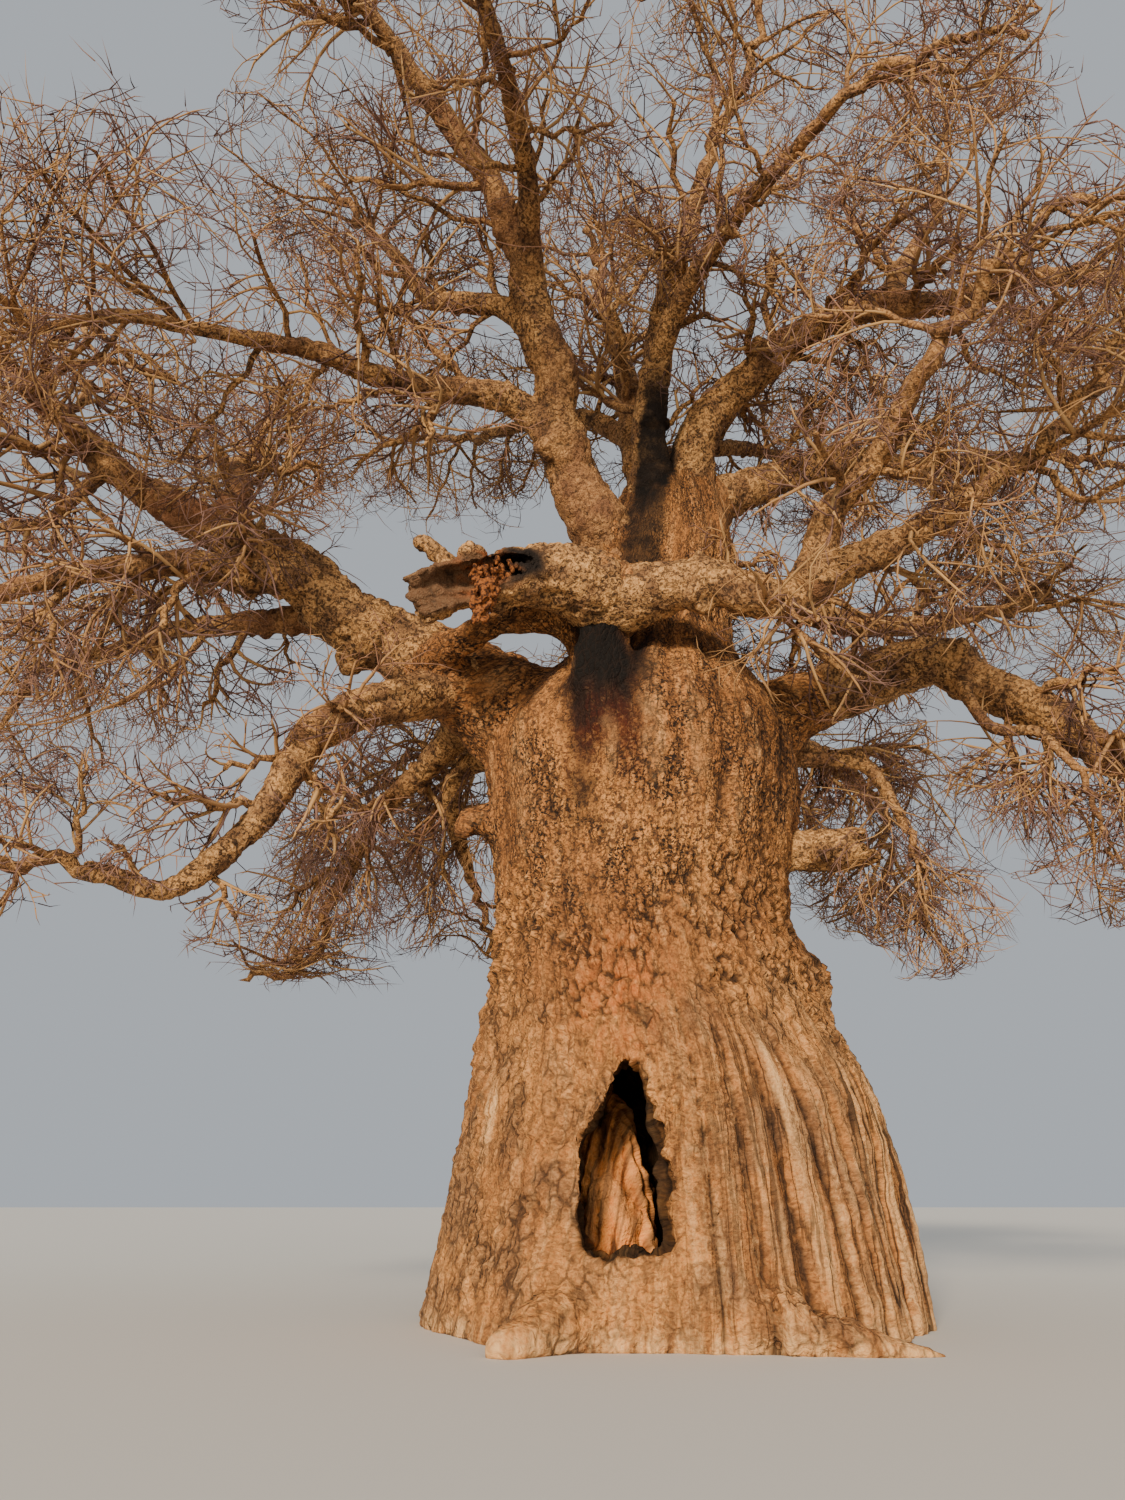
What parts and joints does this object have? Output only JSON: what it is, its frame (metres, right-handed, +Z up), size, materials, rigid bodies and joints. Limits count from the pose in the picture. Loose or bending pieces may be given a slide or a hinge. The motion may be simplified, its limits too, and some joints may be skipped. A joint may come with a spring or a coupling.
{
  "type": "baobab tree",
  "caption": "Old leafless baobab with a swollen hollow trunk, a pointed doorway, heavy spreading boughs and masses of bare twigs.",
  "frame": {"origin": "where the trunk's axis meets the level ground, on the flat cut under the trunk", "axes": "+Z up, +Y away from the viewer of the picture, +X to the right; the doorway of the hollow faces -Y"},
  "size_m": [27.6631, 23.715, 24.8449],
  "materials": {
    "trunk_bark": "rough folded bark, orange-brown with grey-olive patches",
    "bough_bark": "knobbly bark, tan above and red-brown where smooth",
    "twig_bark": "bare mauve-brown twigs"
  },
  "bodies": {
    "root": {"back_high_left_bough": "bough_bark", "back_high_left_twigs": "twig_bark", "back_high_right_bough": "bough_bark", "back_high_right_twigs": "twig_bark", "back_low_left_bough": "bough_bark", "back_low_left_twigs": "twig_bark", "back_low_right_bough": "bough_bark", "back_low_right_twigs": "twig_bark", "back_mid_bough": "bough_bark", "back_mid_twigs": "twig_bark", "broken_bough": "bough_bark", "cross_bough": "bough_bark", "cross_rise_bough": "bough_bark", "cross_rise_twigs": "twig_bark", "cross_twigs": "twig_bark", "cut_stub": "bough_bark", "front_leader": "bough_bark", "front_leader_twigs": "twig_bark", "front_left_bough": "bough_bark", "front_left_twigs": "twig_bark", "front_right_bough": "bough_bark", "front_right_twigs": "twig_bark", "left_back_droop_bough": "bough_bark", "left_back_droop_twigs": "twig_bark", "left_bough": "bough_bark", "left_droop_bough": "bough_bark", "left_droop_twigs": "twig_bark", "left_far_bough": "bough_bark", "left_far_twigs": "twig_bark", "left_front_bough": "bough_bark", "left_front_twigs": "twig_bark", "left_high_bough": "bough_bark", "left_high_twigs": "twig_bark", "left_leader": "bough_bark", "left_leader_twigs": "twig_bark", "left_rise_bough": "bough_bark", "left_rise_twigs": "twig_bark", "left_top_bough": "bough_bark", "left_top_twigs": "twig_bark", "left_twigs": "twig_bark", "left_under_bough": "bough_bark", "left_under_twigs": "twig_bark", "mid_leader": "bough_bark", "mid_leader_twigs": "twig_bark", "right_back_bough": "bough_bark", "right_back_twigs": "twig_bark", "right_bough": "bough_bark", "right_hang_bough": "bough_bark", "right_hang_twigs": "twig_bark", "right_high_bough": "bough_bark", "right_high_rise_bough": "bough_bark", "right_high_rise_twigs": "twig_bark", "right_high_twigs": "twig_bark", "right_mid_bough": "bough_bark", "right_mid_twigs": "twig_bark", "right_small_bough": "bough_bark", "right_small_twigs": "twig_bark", "right_twigs": "twig_bark", "trunk": "trunk_bark"}
  },
  "joints": []
}
